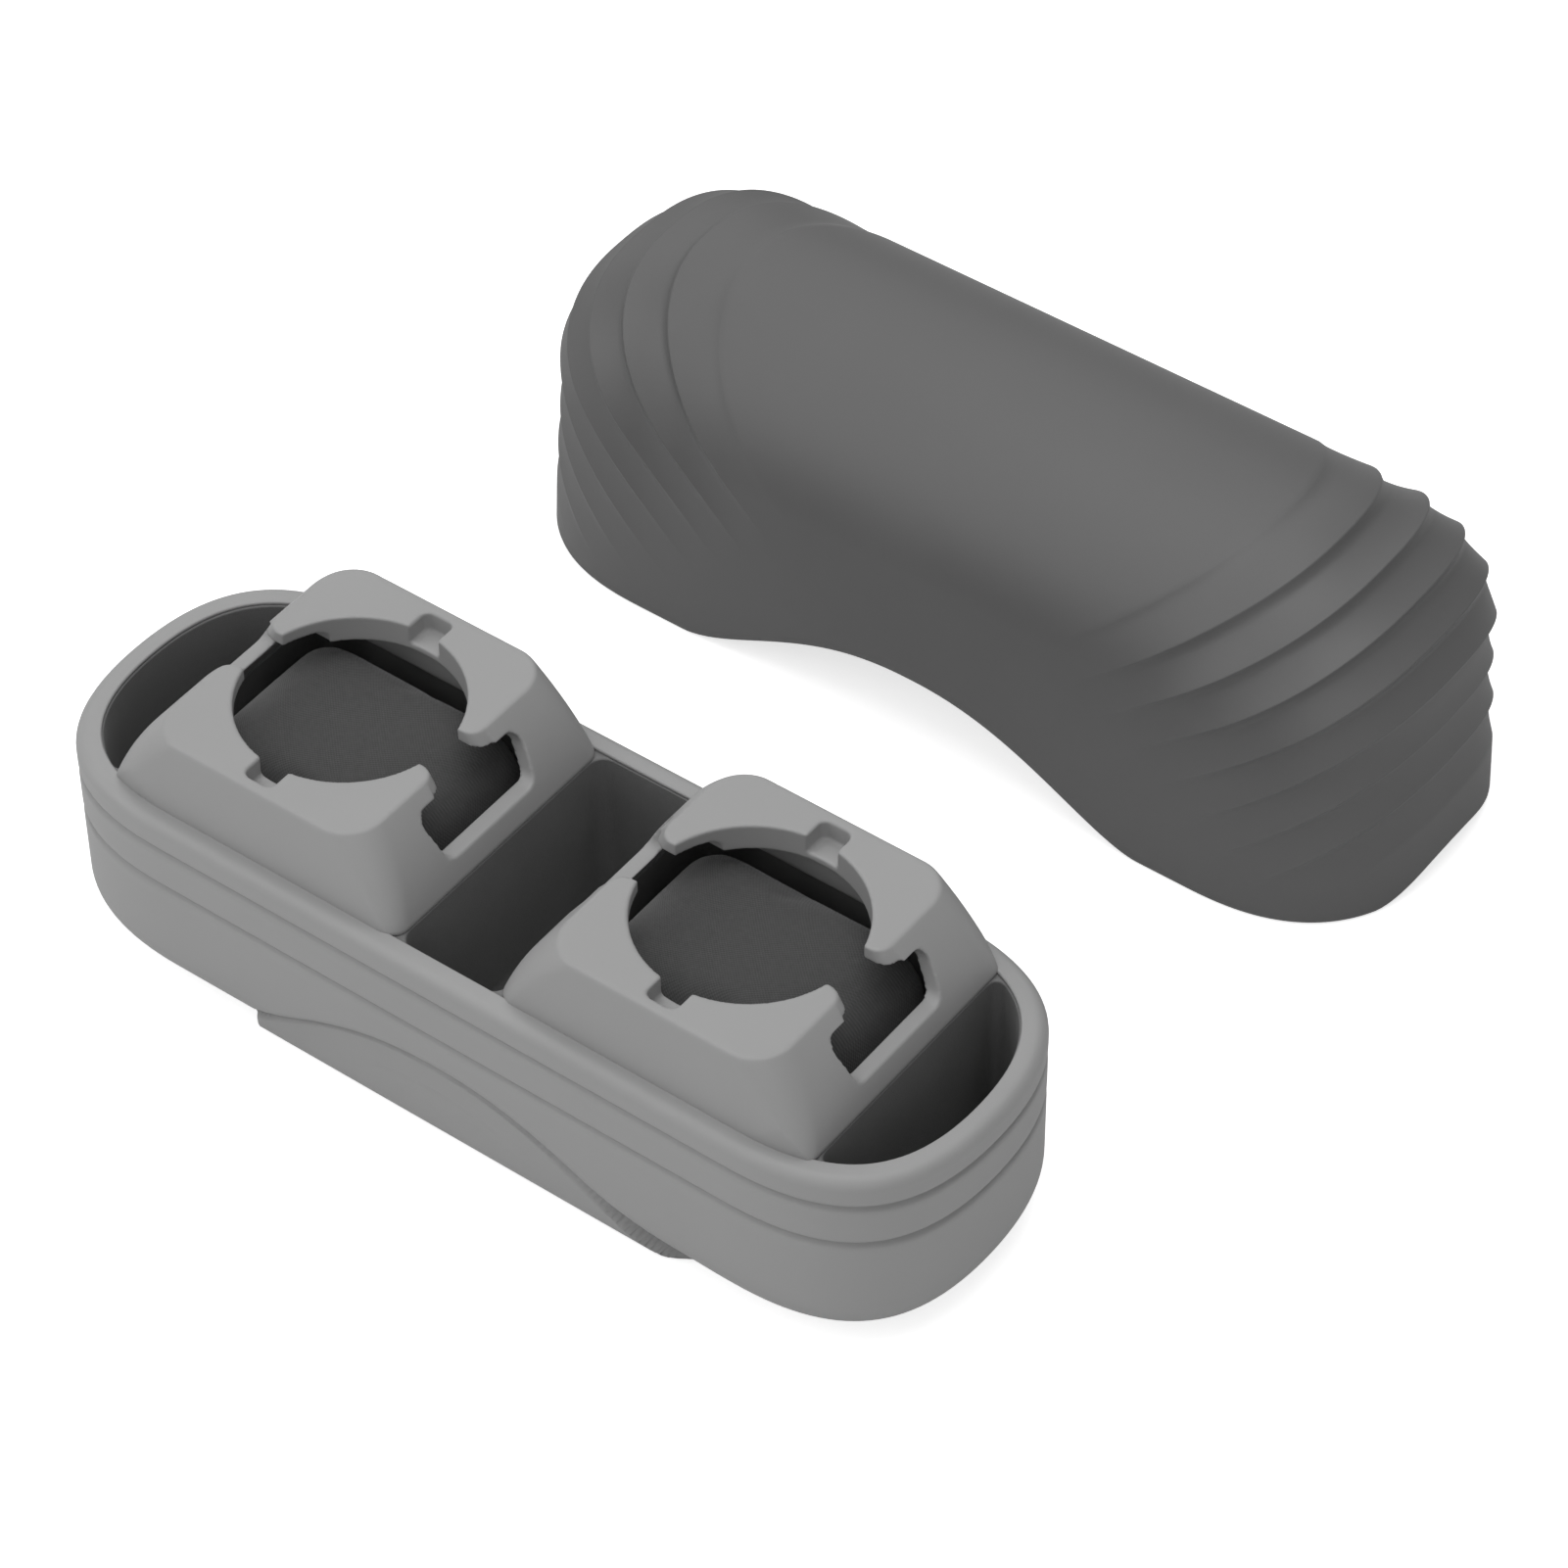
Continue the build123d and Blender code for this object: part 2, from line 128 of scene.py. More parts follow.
def oval_ring(half_width, end_reach, level, steps=side_steps, bends=bend_steps):
    """Points round the long oval at one level, anticlockwise from its front left."""
    half = [(straight * (2 * step / steps - 1), -half_width) for step in range(steps)]
    for step in range(bends):
        along, across = quarter_bend(step / bends)
        half.append((straight + along * end_reach, -across * half_width))
    for step in range(bends):
        along, across = quarter_bend(1 - step / bends)
        half.append((straight + along * end_reach, across * half_width))
    ring = half + [(-x, -y) for x, y in half]
    return [(x, y, level) for x, y in ring]


def loft_faces(ring_count, ring_size):
    """Quads that join rings of equal size, each ring closed on itself."""
    faces = []
    for ring in range(ring_count - 1):
        near = ring * ring_size
        far = near + ring_size
        for step in range(ring_size):
            after = (step + 1) % ring_size
            faces.append((near + step, near + after, far + after, far + step))
    return faces


def wall_levels(low, high):
    """Levels up the wall, closer together at the grooves."""
    levels = []
    level = low
    while level < high:
        levels.append(level)
        near_groove = min(abs(level - groove) for groove in groove_levels) < fine_wall_reach
        level += fine_wall_step if near_groove else wall_step
    return levels


def groove_inset(level):
    """Depth of the two soft grooves at one level of the wall."""
    return sum(
        groove_depth * exp(-(((level - groove) / groove_spread) ** 2)) for groove in groove_levels
    )


def outer_rows():
    """Half width, end reach and level of each ring from the foot up to the top of the rim."""
    half, end = base_half_width, base_end_reach
    rows = [
        ((half - bottom_round) * share, (end - bottom_round) * share, foot_lift)
        for share in floor_ring_shares
    ]
    for rise, run in quarter_turn(bottom_steps):
        inset = bottom_round * (1 - rise)
        rows.append((half - inset, end - inset, foot_lift + bottom_round * (1 - run)))
    low = foot_lift + bottom_round + wall_start
    for level in wall_levels(low, base_height - rim_outer_round):
        inset = groove_inset(level)
        rows.append((half - inset, end - inset, level))
    for rise, run in quarter_turn(rim_steps):
        inset = rim_outer_round * (1 - run)
        rows.append((half - inset, end - inset, base_height - rim_outer_round * (1 - rise)))
    return rows


def inner_rows():
    """The same for each ring from the rim's inner lip down to the middle of the floor."""
    half, end = base_half_width, base_end_reach
    rows = []
    for rise, run in quarter_turn(inner_steps):
        inset = shell_wall + rim_cover - rim_inner_round * (1 - rise)
        rows.append((half - inset, end - inset, base_height - rim_inner_round * (1 - run)))
    for inset in (shell_wall + rim_cover, shell_wall):
        rows.append((half - inset, end - inset, base_height - rim_cover_depth))
    floor_level = foot_lift + shell_floor
    for rise, run in quarter_turn(inner_steps):
        inset = shell_wall + cavity_round * (1 - run)
        rows.append((half - inset, end - inset, floor_level + cavity_round * (1 - rise)))
    inset = shell_wall + cavity_round
    for share in (inner_floor_ring_share, 0):
        rows.append(((half - inset) * share, (end - inset) * share, floor_level))
    return rows


def panel_row(row):
    """The same ring on the set-back foot panel, whose smaller round ends on the floor."""
    half, end, level = row
    top = foot_lift + bottom_round
    if level > top:
        return half - panel_inset, end - panel_inset, level
    level = (level - foot_lift) * top / bottom_round
    inset = panel_inset
    if level < panel_bottom_round:
        drop = 1 - level / panel_bottom_round
        inset += panel_bottom_round * (1 - sqrt(1 - drop * drop))
    share = min(half / (base_half_width - bottom_round), 1)
    return (base_half_width - inset) * share, (base_end_reach - inset) * share, level


def bump_share(across):
    """Height share of an arch at this share of its half span."""
    return (1 - min(abs(across), 1) ** arch_flatness) ** arch_ease


def edge_level(along):
    """Level of the shell's arched lower edge, counted along its own long side."""
    return closed_rim_level + arch_rise * bump_share((along - arch_middle) / arch_half_span)


def end_share(x, y):
    """1 along the panel, 0 past its ends: one is crisp, the other runs out softly."""
    along = x if y < 0 else -x
    soft = smooth(0.5 + (along - panel_crisp_end) / panel_end_lip)
    soft *= smooth((panel_soft_end - along) / panel_end_run)
    crisp = smooth(0.5 + (-panel_crisp_end - abs(x)) / panel_end_lip)
    lean = smooth((abs(y) - panel_middle_start) / panel_middle_run)
    return crisp + (soft - crisp) * lean


def foot_point(shell, panel):
    """A point of the tub's outside, between the shell's skin and the foot panel."""
    x, y, z = shell
    side = 1 if y > 0 else -1
    along = -side * x
    slope = edge_level(along + 0.5) - edge_level(along - 0.5)
    above = (z - edge_level(along)) / sqrt(1 + slope * slope)
    ends = end_share(x, y)
    height = max(turn_in_height + turn_in_growth_share * along, turn_in_least_height)
    skin = Vector(shell)
    if abs(y) > base_half_width * long_side_share:
        turned = min(max(1 - above / height, 0), 1)
        skin.y -= side * turn_in * turned * turned * ends
    share = smooth(0.5 - above / arch_lip) * ends
    point = skin.lerp(Vector(panel), share)
    if share > 0.5 and z > foot_lift + crease_floor:
        point.y -= side * panel_crease(along, z)
    return point


def panel_crease(along, level):
    """Depth of the faint second line inside the arch."""
    off = abs(along - arch_middle)
    place = (level - crease_level + crease_fall_share * off * off) / crease_spread
    return crease_depth * exp(-place * place) * (1 - smooth((off - crease_half_span) / crease_run))


class Term:
    """A node socket that takes part in arithmetic; each operator adds one Math node."""

    def __init__(self, tree, socket):
        self.tree = tree
        self.socket = socket

    def _math(self, operation, first, second):
        return self.tree.node("ShaderNodeMath", {"operation": operation}, {0: first, 1: second})

    def __add__(self, other):
        return self._math("ADD", self, other)

    def __radd__(self, other):
        return self._math("ADD", other, self)

    def __sub__(self, other):
        return self._math("SUBTRACT", self, other)

    def __rsub__(self, other):
        return self._math("SUBTRACT", other, self)

    def __mul__(self, other):
        return self._math("MULTIPLY", self, other)

    def __rmul__(self, other):
        return self._math("MULTIPLY", other, self)

    def __truediv__(self, other):
        return self._math("DIVIDE", self, other)

    def __rpow__(self, other):
        return self._math("POWER", other, self)

    def __pow__(self, other):
        return self._math("POWER", self, other)

    def clamped(self):
        return self.tree.node("ShaderNodeClamp", {}, {"Value": self})

    def taken(self, operation):
        """The result of maths on one value, such as its sine or its whole part."""
        return self.tree.node("ShaderNodeMath", {"operation": operation}, {0: self})

    def axis(self, name):
        """One coordinate of a vector."""
        return self.tree.node("ShaderNodeSeparateXYZ", {}, {0: self}, output=name)

    def eased(self):
        """Smooth step of a value already between 0 and 1."""
        held = self.clamped()
        return held * held * (3 - 2 * held)


class Tree:
    """A node tree of a material, the world or a modifier, which grows by node()."""

    def __init__(self, node_tree):
        self.node_tree = node_tree

    def node(self, kind, settings=None, inputs=None, output=0):
        """Add a node, set it up, fill or link its inputs and return one of its outputs."""
        made = self.node_tree.nodes.new(kind)
        for name, value in (settings or {}).items():
            setattr(made, name, value)
        for name, value in (inputs or {}).items():
            if isinstance(value, Term):
                self.node_tree.links.new(value.socket, made.inputs[name])
            else:
                made.inputs[name].default_value = value
        return Term(self, made.outputs[output]) if made.outputs else None


def grey(level):
    """Linear colour of a neutral grey given as a screen value from 0 to 255."""
    linear = ((level / 255 + 0.055) / 1.055) ** 2.4
    return (linear, linear, linear, 1)


def grey_mix(share, dark, light):
    """A grey between two levels, as far towards the light one as the share says."""
    return share.tree.node(
        "ShaderNodeMix", {"data_type": "RGBA"}, {0: share, 6: grey(dark), 7: grey(light)}, output=2
    )


def relief(height, strength, distance):
    """The surface's normal tilted by a fine relief of this greatest height in metres."""
    return height.tree.node(
        "ShaderNodeBump", {}, {"Height": height, "Strength": strength, "Distance": distance}
    )


def close_surface(tree, inputs):
    """End a material's tree in one surface with these inputs."""
    surface = tree.node("ShaderNodeBsdfPrincipled", {}, inputs)
    tree.node("ShaderNodeOutputMaterial", {}, {"Surface": surface})


def new_material(name):
    """A material with an empty node tree."""
    material = bpy.data.materials.new(name)
    material.use_nodes = True
    material.node_tree.nodes.clear()
    return material, Tree(material.node_tree)


def moulded_plastic(name, level, roughness):
    """Soft-touch plastic: a fine spark grain, faint flow marks and an uneven satin."""
    material, tree = new_material(name)
    place = tree.node("ShaderNodeTexCoord", output="Object")
    flow = tree.node("ShaderNodeTexNoise", {}, {"Vector": place, "Scale": 30.0, "Detail": 3.0})
    spark = tree.node("ShaderNodeTexNoise", {}, {"Vector": place, "Scale": 4600.0})
    mottle = ((flow - 0.5) * 1.2 + (spark - 0.5) * 0.7 + 0.5).clamped()
    close_surface(tree, {
        "Base Color": grey_mix(mottle, level - 3, level + 3),
        "Roughness": (flow - 0.5) * 0.14 + roughness,
        "Normal": relief(spark, 0.3, 0.00005),
    })
    return material


def tidy_mesh(mesh, merge=0.00002):
    """Merge doubles, turn every face outwards and shade smooth."""
    work = bmesh.new()
    work.from_mesh(mesh)
    bmesh.ops.remove_doubles(work, verts=work.verts, dist=merge)
    bmesh.ops.dissolve_degenerate(work, edges=work.edges, dist=merge)
    bmesh.ops.recalc_face_normals(work, faces=work.faces)
    work.to_mesh(mesh)
    work.free()
    mesh.shade_smooth()


def new_mesh(name, points, faces, material):
    """A tidy mesh from points in millimetres."""
    mesh = bpy.data.meshes.new(name)
    mesh.from_pydata([Vector(point) * MM for point in points], [], faces)
    tidy_mesh(mesh)
    mesh.materials.append(material)
    return mesh


def new_object(name, mesh):
    """An object at the origin that shows a mesh."""
    made = bpy.data.objects.new(name, mesh)
    bpy.context.collection.objects.link(made)
    return made


def with_modifiers(piece):
    """Turn the evaluated modifiers of a piece into its plain mesh."""
    graph = bpy.context.evaluated_depsgraph_get()
    mesh = bpy.data.meshes.new_from_object(piece.evaluated_get(graph), depsgraph=graph)
    piece.modifiers.clear()
    piece.data = mesh
    return piece


def finished(piece, body, slot, *nodes):
    """Put a finished piece on its body and hide the solids it stands for; the slot argument is not
    used.
    """
    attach(piece, body)
    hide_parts(*nodes)
    return piece


base_points = []
for row in outer_rows():
    ring = oval_ring(*row)
    if row[2] < base_height / 2:
        set_back = oval_ring(*panel_row(row))
        ring = [foot_point(shell, panel) for shell, panel in zip(ring, set_back)]
    base_points += ring
for row in inner_rows():
    base_points += oval_ring(*row)
ring_size = 2 * (side_steps + 2 * bend_steps)
satin_base = moulded_plastic("base_satin_grey", 160, 0.5)
base_faces = loft_faces(len(base_points) // ring_size, ring_size)
base_mesh = new_mesh("base_tub", base_points, base_faces, satin_base)
finished(new_object("base_tub", base_mesh), "base", "shell_grey", "base_shell")


# Base lining: a dark flocked tub pushed into the shell, with three pockets and a well
# under each cradle; the pocket floors run up into the walls in a wide round.
lining_low, lining_high = (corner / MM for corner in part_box("base_lining"))
lining_wall = 1.0
lining_floor = 1.6
lining_round = 7.85
pocket_half_width = lining_high.y - lining_wall
divider_wall = 2.4
pocket_round = 5.0
lip_round = 0.45
cap_half_length = 35.2
middle_pocket_length = 23.2
cradle_x = middle_pocket_length / 2 + cap_half_length
nose_corner_width = 0.6
pocket_spacing, pocket_corner = 0.7, 6.5
well_spacing, well_corner = 1.0, 5
block_bevel = 0.3
mouth_overrun = 2.0
lip_steps = 4
hollow_steps = 8
block_side_steps = 40
sharp_angle = radians(40)


def even_outline(points, spacing):
    """The same closed outline, with evenly spaced points."""
    closed = points + [points[0]]
    lengths = [hypot(b[0] - a[0], b[1] - a[1]) for a, b in zip(closed, closed[1:])]
    count = round(sum(lengths) / spacing)
    even = []
    edge, done = 0, 0.0
    for step in range(count):
        place = step / count * sum(lengths)
        while place > done + lengths[edge]:
            done += lengths[edge]
            edge += 1
        share = (place - done) / lengths[edge]
        (ax, ay), (bx, by) = closed[edge], closed[edge + 1]
        even.append((ax + (bx - ax) * share, ay + (by - ay) * share))
    return even


def soft_outline(points, spacing, corner):
    """A closed outline whose corners are rounded by averaging over their length."""
    even = even_outline(points, spacing)
    reach = round(corner / spacing / 2)
    count = len(even)
    return [
        tuple(
            sum(even[(step + shift) % count][axis] for shift in range(-reach, reach + 1))
            / (2 * reach + 1)
            for axis in (0, 1)
        )
        for step in range(count)
    ]


def end_pocket_outline():
    """The D-shaped outline of the right end pocket."""
    end = lining_high.x - lining_wall - straight
    near = cradle_x + cap_half_length
    nose = []
    for step in range(bend_steps + 1):
        along, across = quarter_bend(step / bend_steps)
        if straight + along * end > near:
            nose.append((straight + along * end, across * pocket_half_width))
    first_y = nose[0][1] + nose_corner_width
    outline = [(near, -first_y)]
    outline += [(x, -y) for x, y in nose] + [(x, y) for x, y in nose[-2::-1]]
    outline.append((near, first_y))
    return outline


def box_outline(middle, half_length):
    """A plain rectangle from wall to wall."""
    left, right = middle - half_length, middle + half_length
    front, back = -pocket_half_width, pocket_half_width
    return [(left, front), (right, front), (right, back), (left, back)]


def well_outline(middle):
    """The rounded outline of the well under one cradle."""
    well = box_outline(middle, cap_half_length - divider_wall)
    return soft_outline(well, well_spacing, well_corner)


def pocket_cutter(outline):
    """The space of one pocket: a soft-lipped mouth, straight walls and a rounded floor."""
    xs = [x for x, y in outline]
    ys = [y for x, y in outline]
    middle = (min(xs) + max(xs)) / 2
    half_x, half_y = (max(xs) - min(xs)) / 2, (max(ys) - min(ys)) / 2
    rows = [(-lip_round, lining_high.z + mouth_overrun)]
    for rise, run in quarter_turn(lip_steps):
        rows.append((-lip_round * (1 - rise), lining_high.z - lip_round * (1 - run)))
    floor_level = lining_low.z + lining_floor
    for rise, run in quarter_turn(hollow_steps):
        rows.append((pocket_round * (1 - run), floor_level + pocket_round * (1 - rise)))
    points = [
        (middle + (x - middle) * (1 - inset / half_x), y * (1 - inset / half_y), level)
        for inset, level in rows
        for x, y in outline
    ]
    size = len(outline)
    faces = loft_faces(len(rows), size)
    faces.append(tuple(range(size)))
    faces.append(tuple(range((len(rows) - 1) * size, len(rows) * size)))
    return points, faces


def flocked(name, level):
    """Short dark flock: a soft nap with a faint sheen towards the edges."""
    material, tree = new_material(name)
    place = tree.node("ShaderNodeTexCoord", output="Object")
    nap = tree.node("ShaderNodeTexNoise", {}, {"Vector": place, "Scale": 5200.0, "Detail": 1.0})
    wear = tree.node("ShaderNodeTexNoise", {}, {"Vector": place, "Scale": 60.0, "Detail": 4.0})
    tone = ((nap - 0.5) * 1.2 + (wear - 0.5) * 1.1 + 0.5).clamped()
    close_surface(tree, {
        "Base Color": grey_mix(tone, level - 7, level + 7),
        "Roughness": 0.62 + (wear - 0.5) * 0.2,
        "Sheen Weight": 0.12,
        "Sheen Roughness": 0.4,
        "Normal": relief(nap, 0.5, 0.0001),
    })
    return material


def block_rows():
    """Rings of the solid block that the pockets are cut from."""
    half, end = lining_high.y, lining_high.x - straight
    rows = [(0, 0, lining_low.z)]
    for rise, run in quarter_turn(hollow_steps):
        inset = lining_round * (1 - rise)
        rows.append((half - inset, end - inset, lining_low.z + lining_round * (1 - run)))
    rows.append((half, end, lining_high.z - block_bevel))
    rows.append((half - block_bevel, end - block_bevel, lining_high.z))
    rows.append((0, 0, lining_high.z))
    return rows


dark_flock = flocked("dark_flock", 116)
block_points = []
for row in block_rows():
    block_points += oval_ring(*row, block_side_steps)
block_faces = loft_faces(len(block_rows()), 2 * (block_side_steps + 2 * bend_steps))
block = new_mesh("pocket_lining", block_points, block_faces, dark_flock)
lining = new_object("pocket_lining", block)

middle_pocket = box_outline(0, middle_pocket_length / 2)
right_pocket = soft_outline(end_pocket_outline(), pocket_spacing, pocket_corner)
outlines = [
    [(-x, -y) for x, y in right_pocket],
    well_outline(-cradle_x),
    soft_outline(middle_pocket, pocket_spacing, pocket_corner),
    well_outline(cradle_x),
    right_pocket,
]
cutter_points, cutter_faces = [], []
for outline in outlines:
    points, faces = pocket_cutter(outline)
    shift = len(cutter_points)
    cutter_points += points
    cutter_faces += [tuple(index + shift for index in face) for face in faces]
cutters = new_object("cutters", new_mesh("cutters", cutter_points, cutter_faces, dark_flock))
cut = lining.modifiers.new("pockets", "BOOLEAN")
cut.operation = "DIFFERENCE"
cut.solver = "EXACT"
cut.object = cutters
lining = with_modifiers(lining)
bpy.data.objects.remove(cutters)
lining.data.set_sharp_from_angle(angle=sharp_angle)
weigh = lining.modifiers.new("weigh", "WEIGHTED_NORMAL")
weigh.keep_sharp = True
lining = with_modifiers(lining)
finished(lining, "base", "lining", "base_lining")


# Cradle caps: two tapered, bulged blocks of the same plastic as the shell, each with a
# round seat, a blind notch in front of it and behind, and a wide slot at both ends. The
# moulding's edges are softly rounded; its foot stays crisp where it stands on the lining.
cap_voxel = 0.38
cap_smoothing = 2
cap_smooth_share = 0.5
cap_crisp_height = 2.0


def solid_copy(node):
    """The mesh of one of the frame's solids, tidied and without a material."""
    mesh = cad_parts[node].data.copy()
    mesh.materials.clear()
    tidy_mesh(mesh)
    return mesh


def remeshed(piece, voxel):
    """Rebuild a piece's mesh from even squares of this width in millimetres."""
    remesh = piece.modifiers.new("remesh", "REMESH")
    remesh.mode = "VOXEL"
    remesh.voxel_size = voxel * MM
    with_modifiers(piece)


def softened(name, node, material):
    """A copy of a solid with all its edges rounded by a fine remesh and smoothing."""
    piece = new_object(name, solid_copy(node))
    remeshed(piece, cap_voxel)
    soft = piece.vertex_groups.new(name="soft")
    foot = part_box(node)[0].z + cap_crisp_height * MM
    above = [vertex.index for vertex in piece.data.vertices if vertex.co.z > foot]
    soft.add(above, 1, "REPLACE")
    relax = piece.modifiers.new("relax", "SMOOTH")
    relax.factor = cap_smooth_share
    relax.iterations = cap_smoothing
    relax.vertex_group = "soft"
    with_modifiers(piece)
    piece.data.materials.append(material)
    piece.data.shade_smooth()
    return piece


for side in ("left", "right"):
    cap = softened(f"seat_cap_{side}", f"cradle_{side}", satin_base)
    finished(cap, "base", "shell_grey", f"cradle_{side}")


# Cushions: two foam blocks in covers of dark woven cloth, crowned by their stuffing.
# They stand loose in the wells below the seats and show in the slots of the caps.
cushion_shrink = 0.9
cushion_voxel = 1.8
cushion_swell = 1.6
cushion_finer_levels = 2
cloth_pressure = 4.0
cloth_frames = 20
thread_pitch = 0.7


def woven_cloth(name, level):
    """Fine plain weave in two directions, with a soft nap over it."""
    material, tree = new_material(name)
    place = tree.node("ShaderNodeTexCoord", output="Object")
    turns = 2 * pi / (thread_pitch * MM)
    warp = ((place.axis("X") + place.axis("Z")) * turns).taken("SINE")
    weft = (place.axis("Y") * turns).taken("SINE")
    nap = tree.node("ShaderNodeTexNoise", {}, {"Vector": place, "Scale": 900.0, "Detail": 3.0})
    weave = warp * weft * 0.5 + (nap - 0.5) * 0.8 + 0.5
    close_surface(tree, {
        "Base Color": grey_mix(weave.clamped(), level - 8, level + 9),
        "Roughness": 0.8,
        "Sheen Weight": 0.25,
        "Sheen Roughness": 0.5,
        "Normal": relief(weave, 0.6, 0.00012),
    })
    return material


def stuffed(name, node, material):
    """A cushion whose cover is blown up from inside a little smaller block."""
    mesh = solid_copy(node)
    low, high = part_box(node)
    middle = (low + high) / 2
    for vertex in mesh.vertices:
        for axis in range(3):
            half = (high[axis] - low[axis]) / 2
            share = 1 - cushion_shrink * MM / half
            vertex.co[axis] = middle[axis] + (vertex.co[axis] - middle[axis]) * share
    piece = new_object(name, mesh)
    remeshed(piece, cushion_voxel)
    blow_up(piece)
    finer = piece.modifiers.new("finer", "SUBSURF")
    finer.levels = finer.render_levels = cushion_finer_levels
    with_modifiers(piece)
    piece.data.materials.append(material)
    piece.data.shade_smooth()
    return piece


def blow_up(piece):
    """Inflate the cover by cloth simulation, each point moving a limited way."""
    rest = [vertex.co.copy() for vertex in piece.data.vertices]
    cloth = piece.modifiers.new("cloth", "CLOTH")
    cloth.settings.use_pressure = True
    cloth.settings.uniform_pressure_force = cloth_pressure
    cloth.settings.effector_weights.gravity = 0
    scene = bpy.context.scene
    for step in range(1, cloth_frames + 1):
        scene.frame_set(step)
    graph = bpy.context.evaluated_depsgraph_get()
    swollen = piece.evaluated_get(graph).data
    moved = [vertex.co.copy() for vertex in swollen.vertices]
    piece.modifiers.clear()
    scene.frame_set(1)
    for vertex, old, new in zip(piece.data.vertices, rest, moved):
        way = new - old
        if way.length > cushion_swell * MM:
            way *= cushion_swell * MM / way.length
        vertex.co = old + way


dark_cloth = woven_cloth("dark_cloth", 62)
for side in ("left", "right"):
    cushion = stuffed(f"watch_cushion_{side}", f"cushion_{side}", dark_cloth)
    finished(cushion, "base", "cushion", f"cushion_{side}")


# Lid: one darker moulding of the same plastic, a tall dome pushed down over the collar.
# Both ends are stepped like shingles: a hollow band runs out to a crisp nose and drops to
# the next. The steps follow planes tilted up towards the ends and die away on the walls.
lid_low, lid_high = (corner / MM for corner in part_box("lid_shell"))
lid_x = (lid_low.x + lid_high.x) / 2
lid_y = (lid_low.y + lid_high.y) / 2
lid_height = lid_high.z
lid_gap = 0.5
lid_wall = 2.2
lid_half_width = base_half_width + lid_gap + lid_wall
lid_end_reach = base_end_reach + lid_gap + lid_wall
crown_wall = 3.0
crown_rise = 28.8
shoulder_level = lid_height - crown_rise
draft_share = 0.035
end_power = 2.5
nose_pull_share = 0.028
nose_pull_level = 38.0
nose_pull_spread = 15.0
end_arch_rise = 5.0
end_arch_half_span = 21.0
end_arch_blend = 20.0
end_arch_start_share = 0.5
step_slope = 0.88
first_step_level = 16.4
step_spacing = 11.4
step_count = 8
step_depth = 1.6
step_drop = 2.5
first_step_share = 0.25
next_step_share = 0.96
fade_start = 28.0
fade_step = 7.0
fade_run = 31.0
rim_fade = 14.0
rim_fade_lead = 0.2
rows_per_step = 18
first_row_lead = 1.2
tip_rows = 44
least_row_gap = 0.16
middle_row_shares = (-0.6, -0.2, 0.2, 0.6)
rim_search = (-10.0, 130.0)
closed_width = 1e-9
outer_columns = 76
inner_columns = 22
bead_columns = 5


def dome_half_width(x, z, wall, crown):
    """Half width of the dome, inset by its wall and crown, at length x and height z."""
    half = lid_half_width - wall - draft_share * min(z, shoulder_level)
    if z > shoulder_level:
        climb = (z - shoulder_level) / (crown_rise - crown)
        half *= sqrt(max(1 - climb * climb, 0))
    if half <= 0:
        return 0
    reach = half * lid_end_reach / lid_half_width
    reach *= 1 - nose_pull_share * exp(-(((z - nose_pull_level) / nose_pull_spread) ** 2))
    past = max(x - straight, 0) / reach
    return half * max(1 - past**end_power, 0) ** (1 / end_power)


def solve(rising, low, high):
    """Where a rising function crosses zero."""
    for _ in range(50):
        middle = (low + high) / 2
        if rising(middle) < 0:
            low = middle
        else:
            high = middle
    return (low + high) / 2


def rim_level(x):
    """Height of the rim on the long walls."""
    return arch_rise * bump_share(x / arch_half_span)


def step_outline(level, wall, crown, columns):
    """Half of the curve in which the tilted plane through (0, level) cuts the dome."""
    start_x = solve(
        lambda x: step_slope * x + level - rim_level(x) - lid_wall / 2, *rim_search
    )
    low = step_slope * start_x + level
    high = solve(
        lambda z: closed_width - dome_half_width((z - level) / step_slope, z, wall, crown),
        low,
        lid_height - crown,
    )
    points = []
    for column in range(columns + 1):
        z = low + (high - low) * sin(column / columns * pi / 2)
        x = (z - level) / step_slope
        half = dome_half_width(x, z, wall, crown) if column < columns else 0
        points.append((x, half, z))
    return points


def inner_level(level):
    """The inner plane whose rim point faces the outer one."""
    bottom = lid_wall / 2
    foot_x = (bottom - level) / step_slope
    if foot_x <= straight:
        return level
    share = (lid_end_reach - lid_wall) / lid_end_reach
    return bottom - step_slope * (straight + (foot_x - straight) * share)


def end_lift(point):
    """Raise the lowest part of the nose over the small end arch."""
    x, y, z = point
    share = smooth((abs(x) - straight) / (lid_end_reach * end_arch_start_share))
    rise = end_arch_rise * bump_share(y / end_arch_half_span) * share
    return (x, y, z + rise * max(1 - z / end_arch_blend, 0))


def there_and_back(curve, side):
    """The whole curve: its half along one side of the case, then back along the other."""
    there = [(x, side * half, z) for x, half, z in curve]
    return there + [(x, -y, z) for x, y, z in there[-2::-1]]


def lid_row(level):
    """One closed ring of the lid: over the outside, round the rim and back inside."""
    outer = step_outline(level, 0, 0, outer_columns)
    inner = step_outline(inner_level(level), lid_wall, crown_wall, inner_columns)
    over = there_and_back(outer, -1)
    under = there_and_back(inner, 1)
    ring = over + rim_bead(over[-1], under[0]) + under + rim_bead(under[-1], over[0])
    return [end_lift(point) for point in ring]


def rim_bead(start, end):
    """Points round the bottom of the rim from one face to the other."""
    start, end = Vector(start), Vector(end)
    middle, half = (start + end) / 2, (start - end) / 2
    points = []
    for column in range(1, bead_columns + 1):
        turn = column / (bead_columns + 1) * pi
        drop = Vector((0, 0, -lid_wall / 2 * sin(turn)))
        points.append(tuple(middle + half * cos(turn) + drop))
    return points


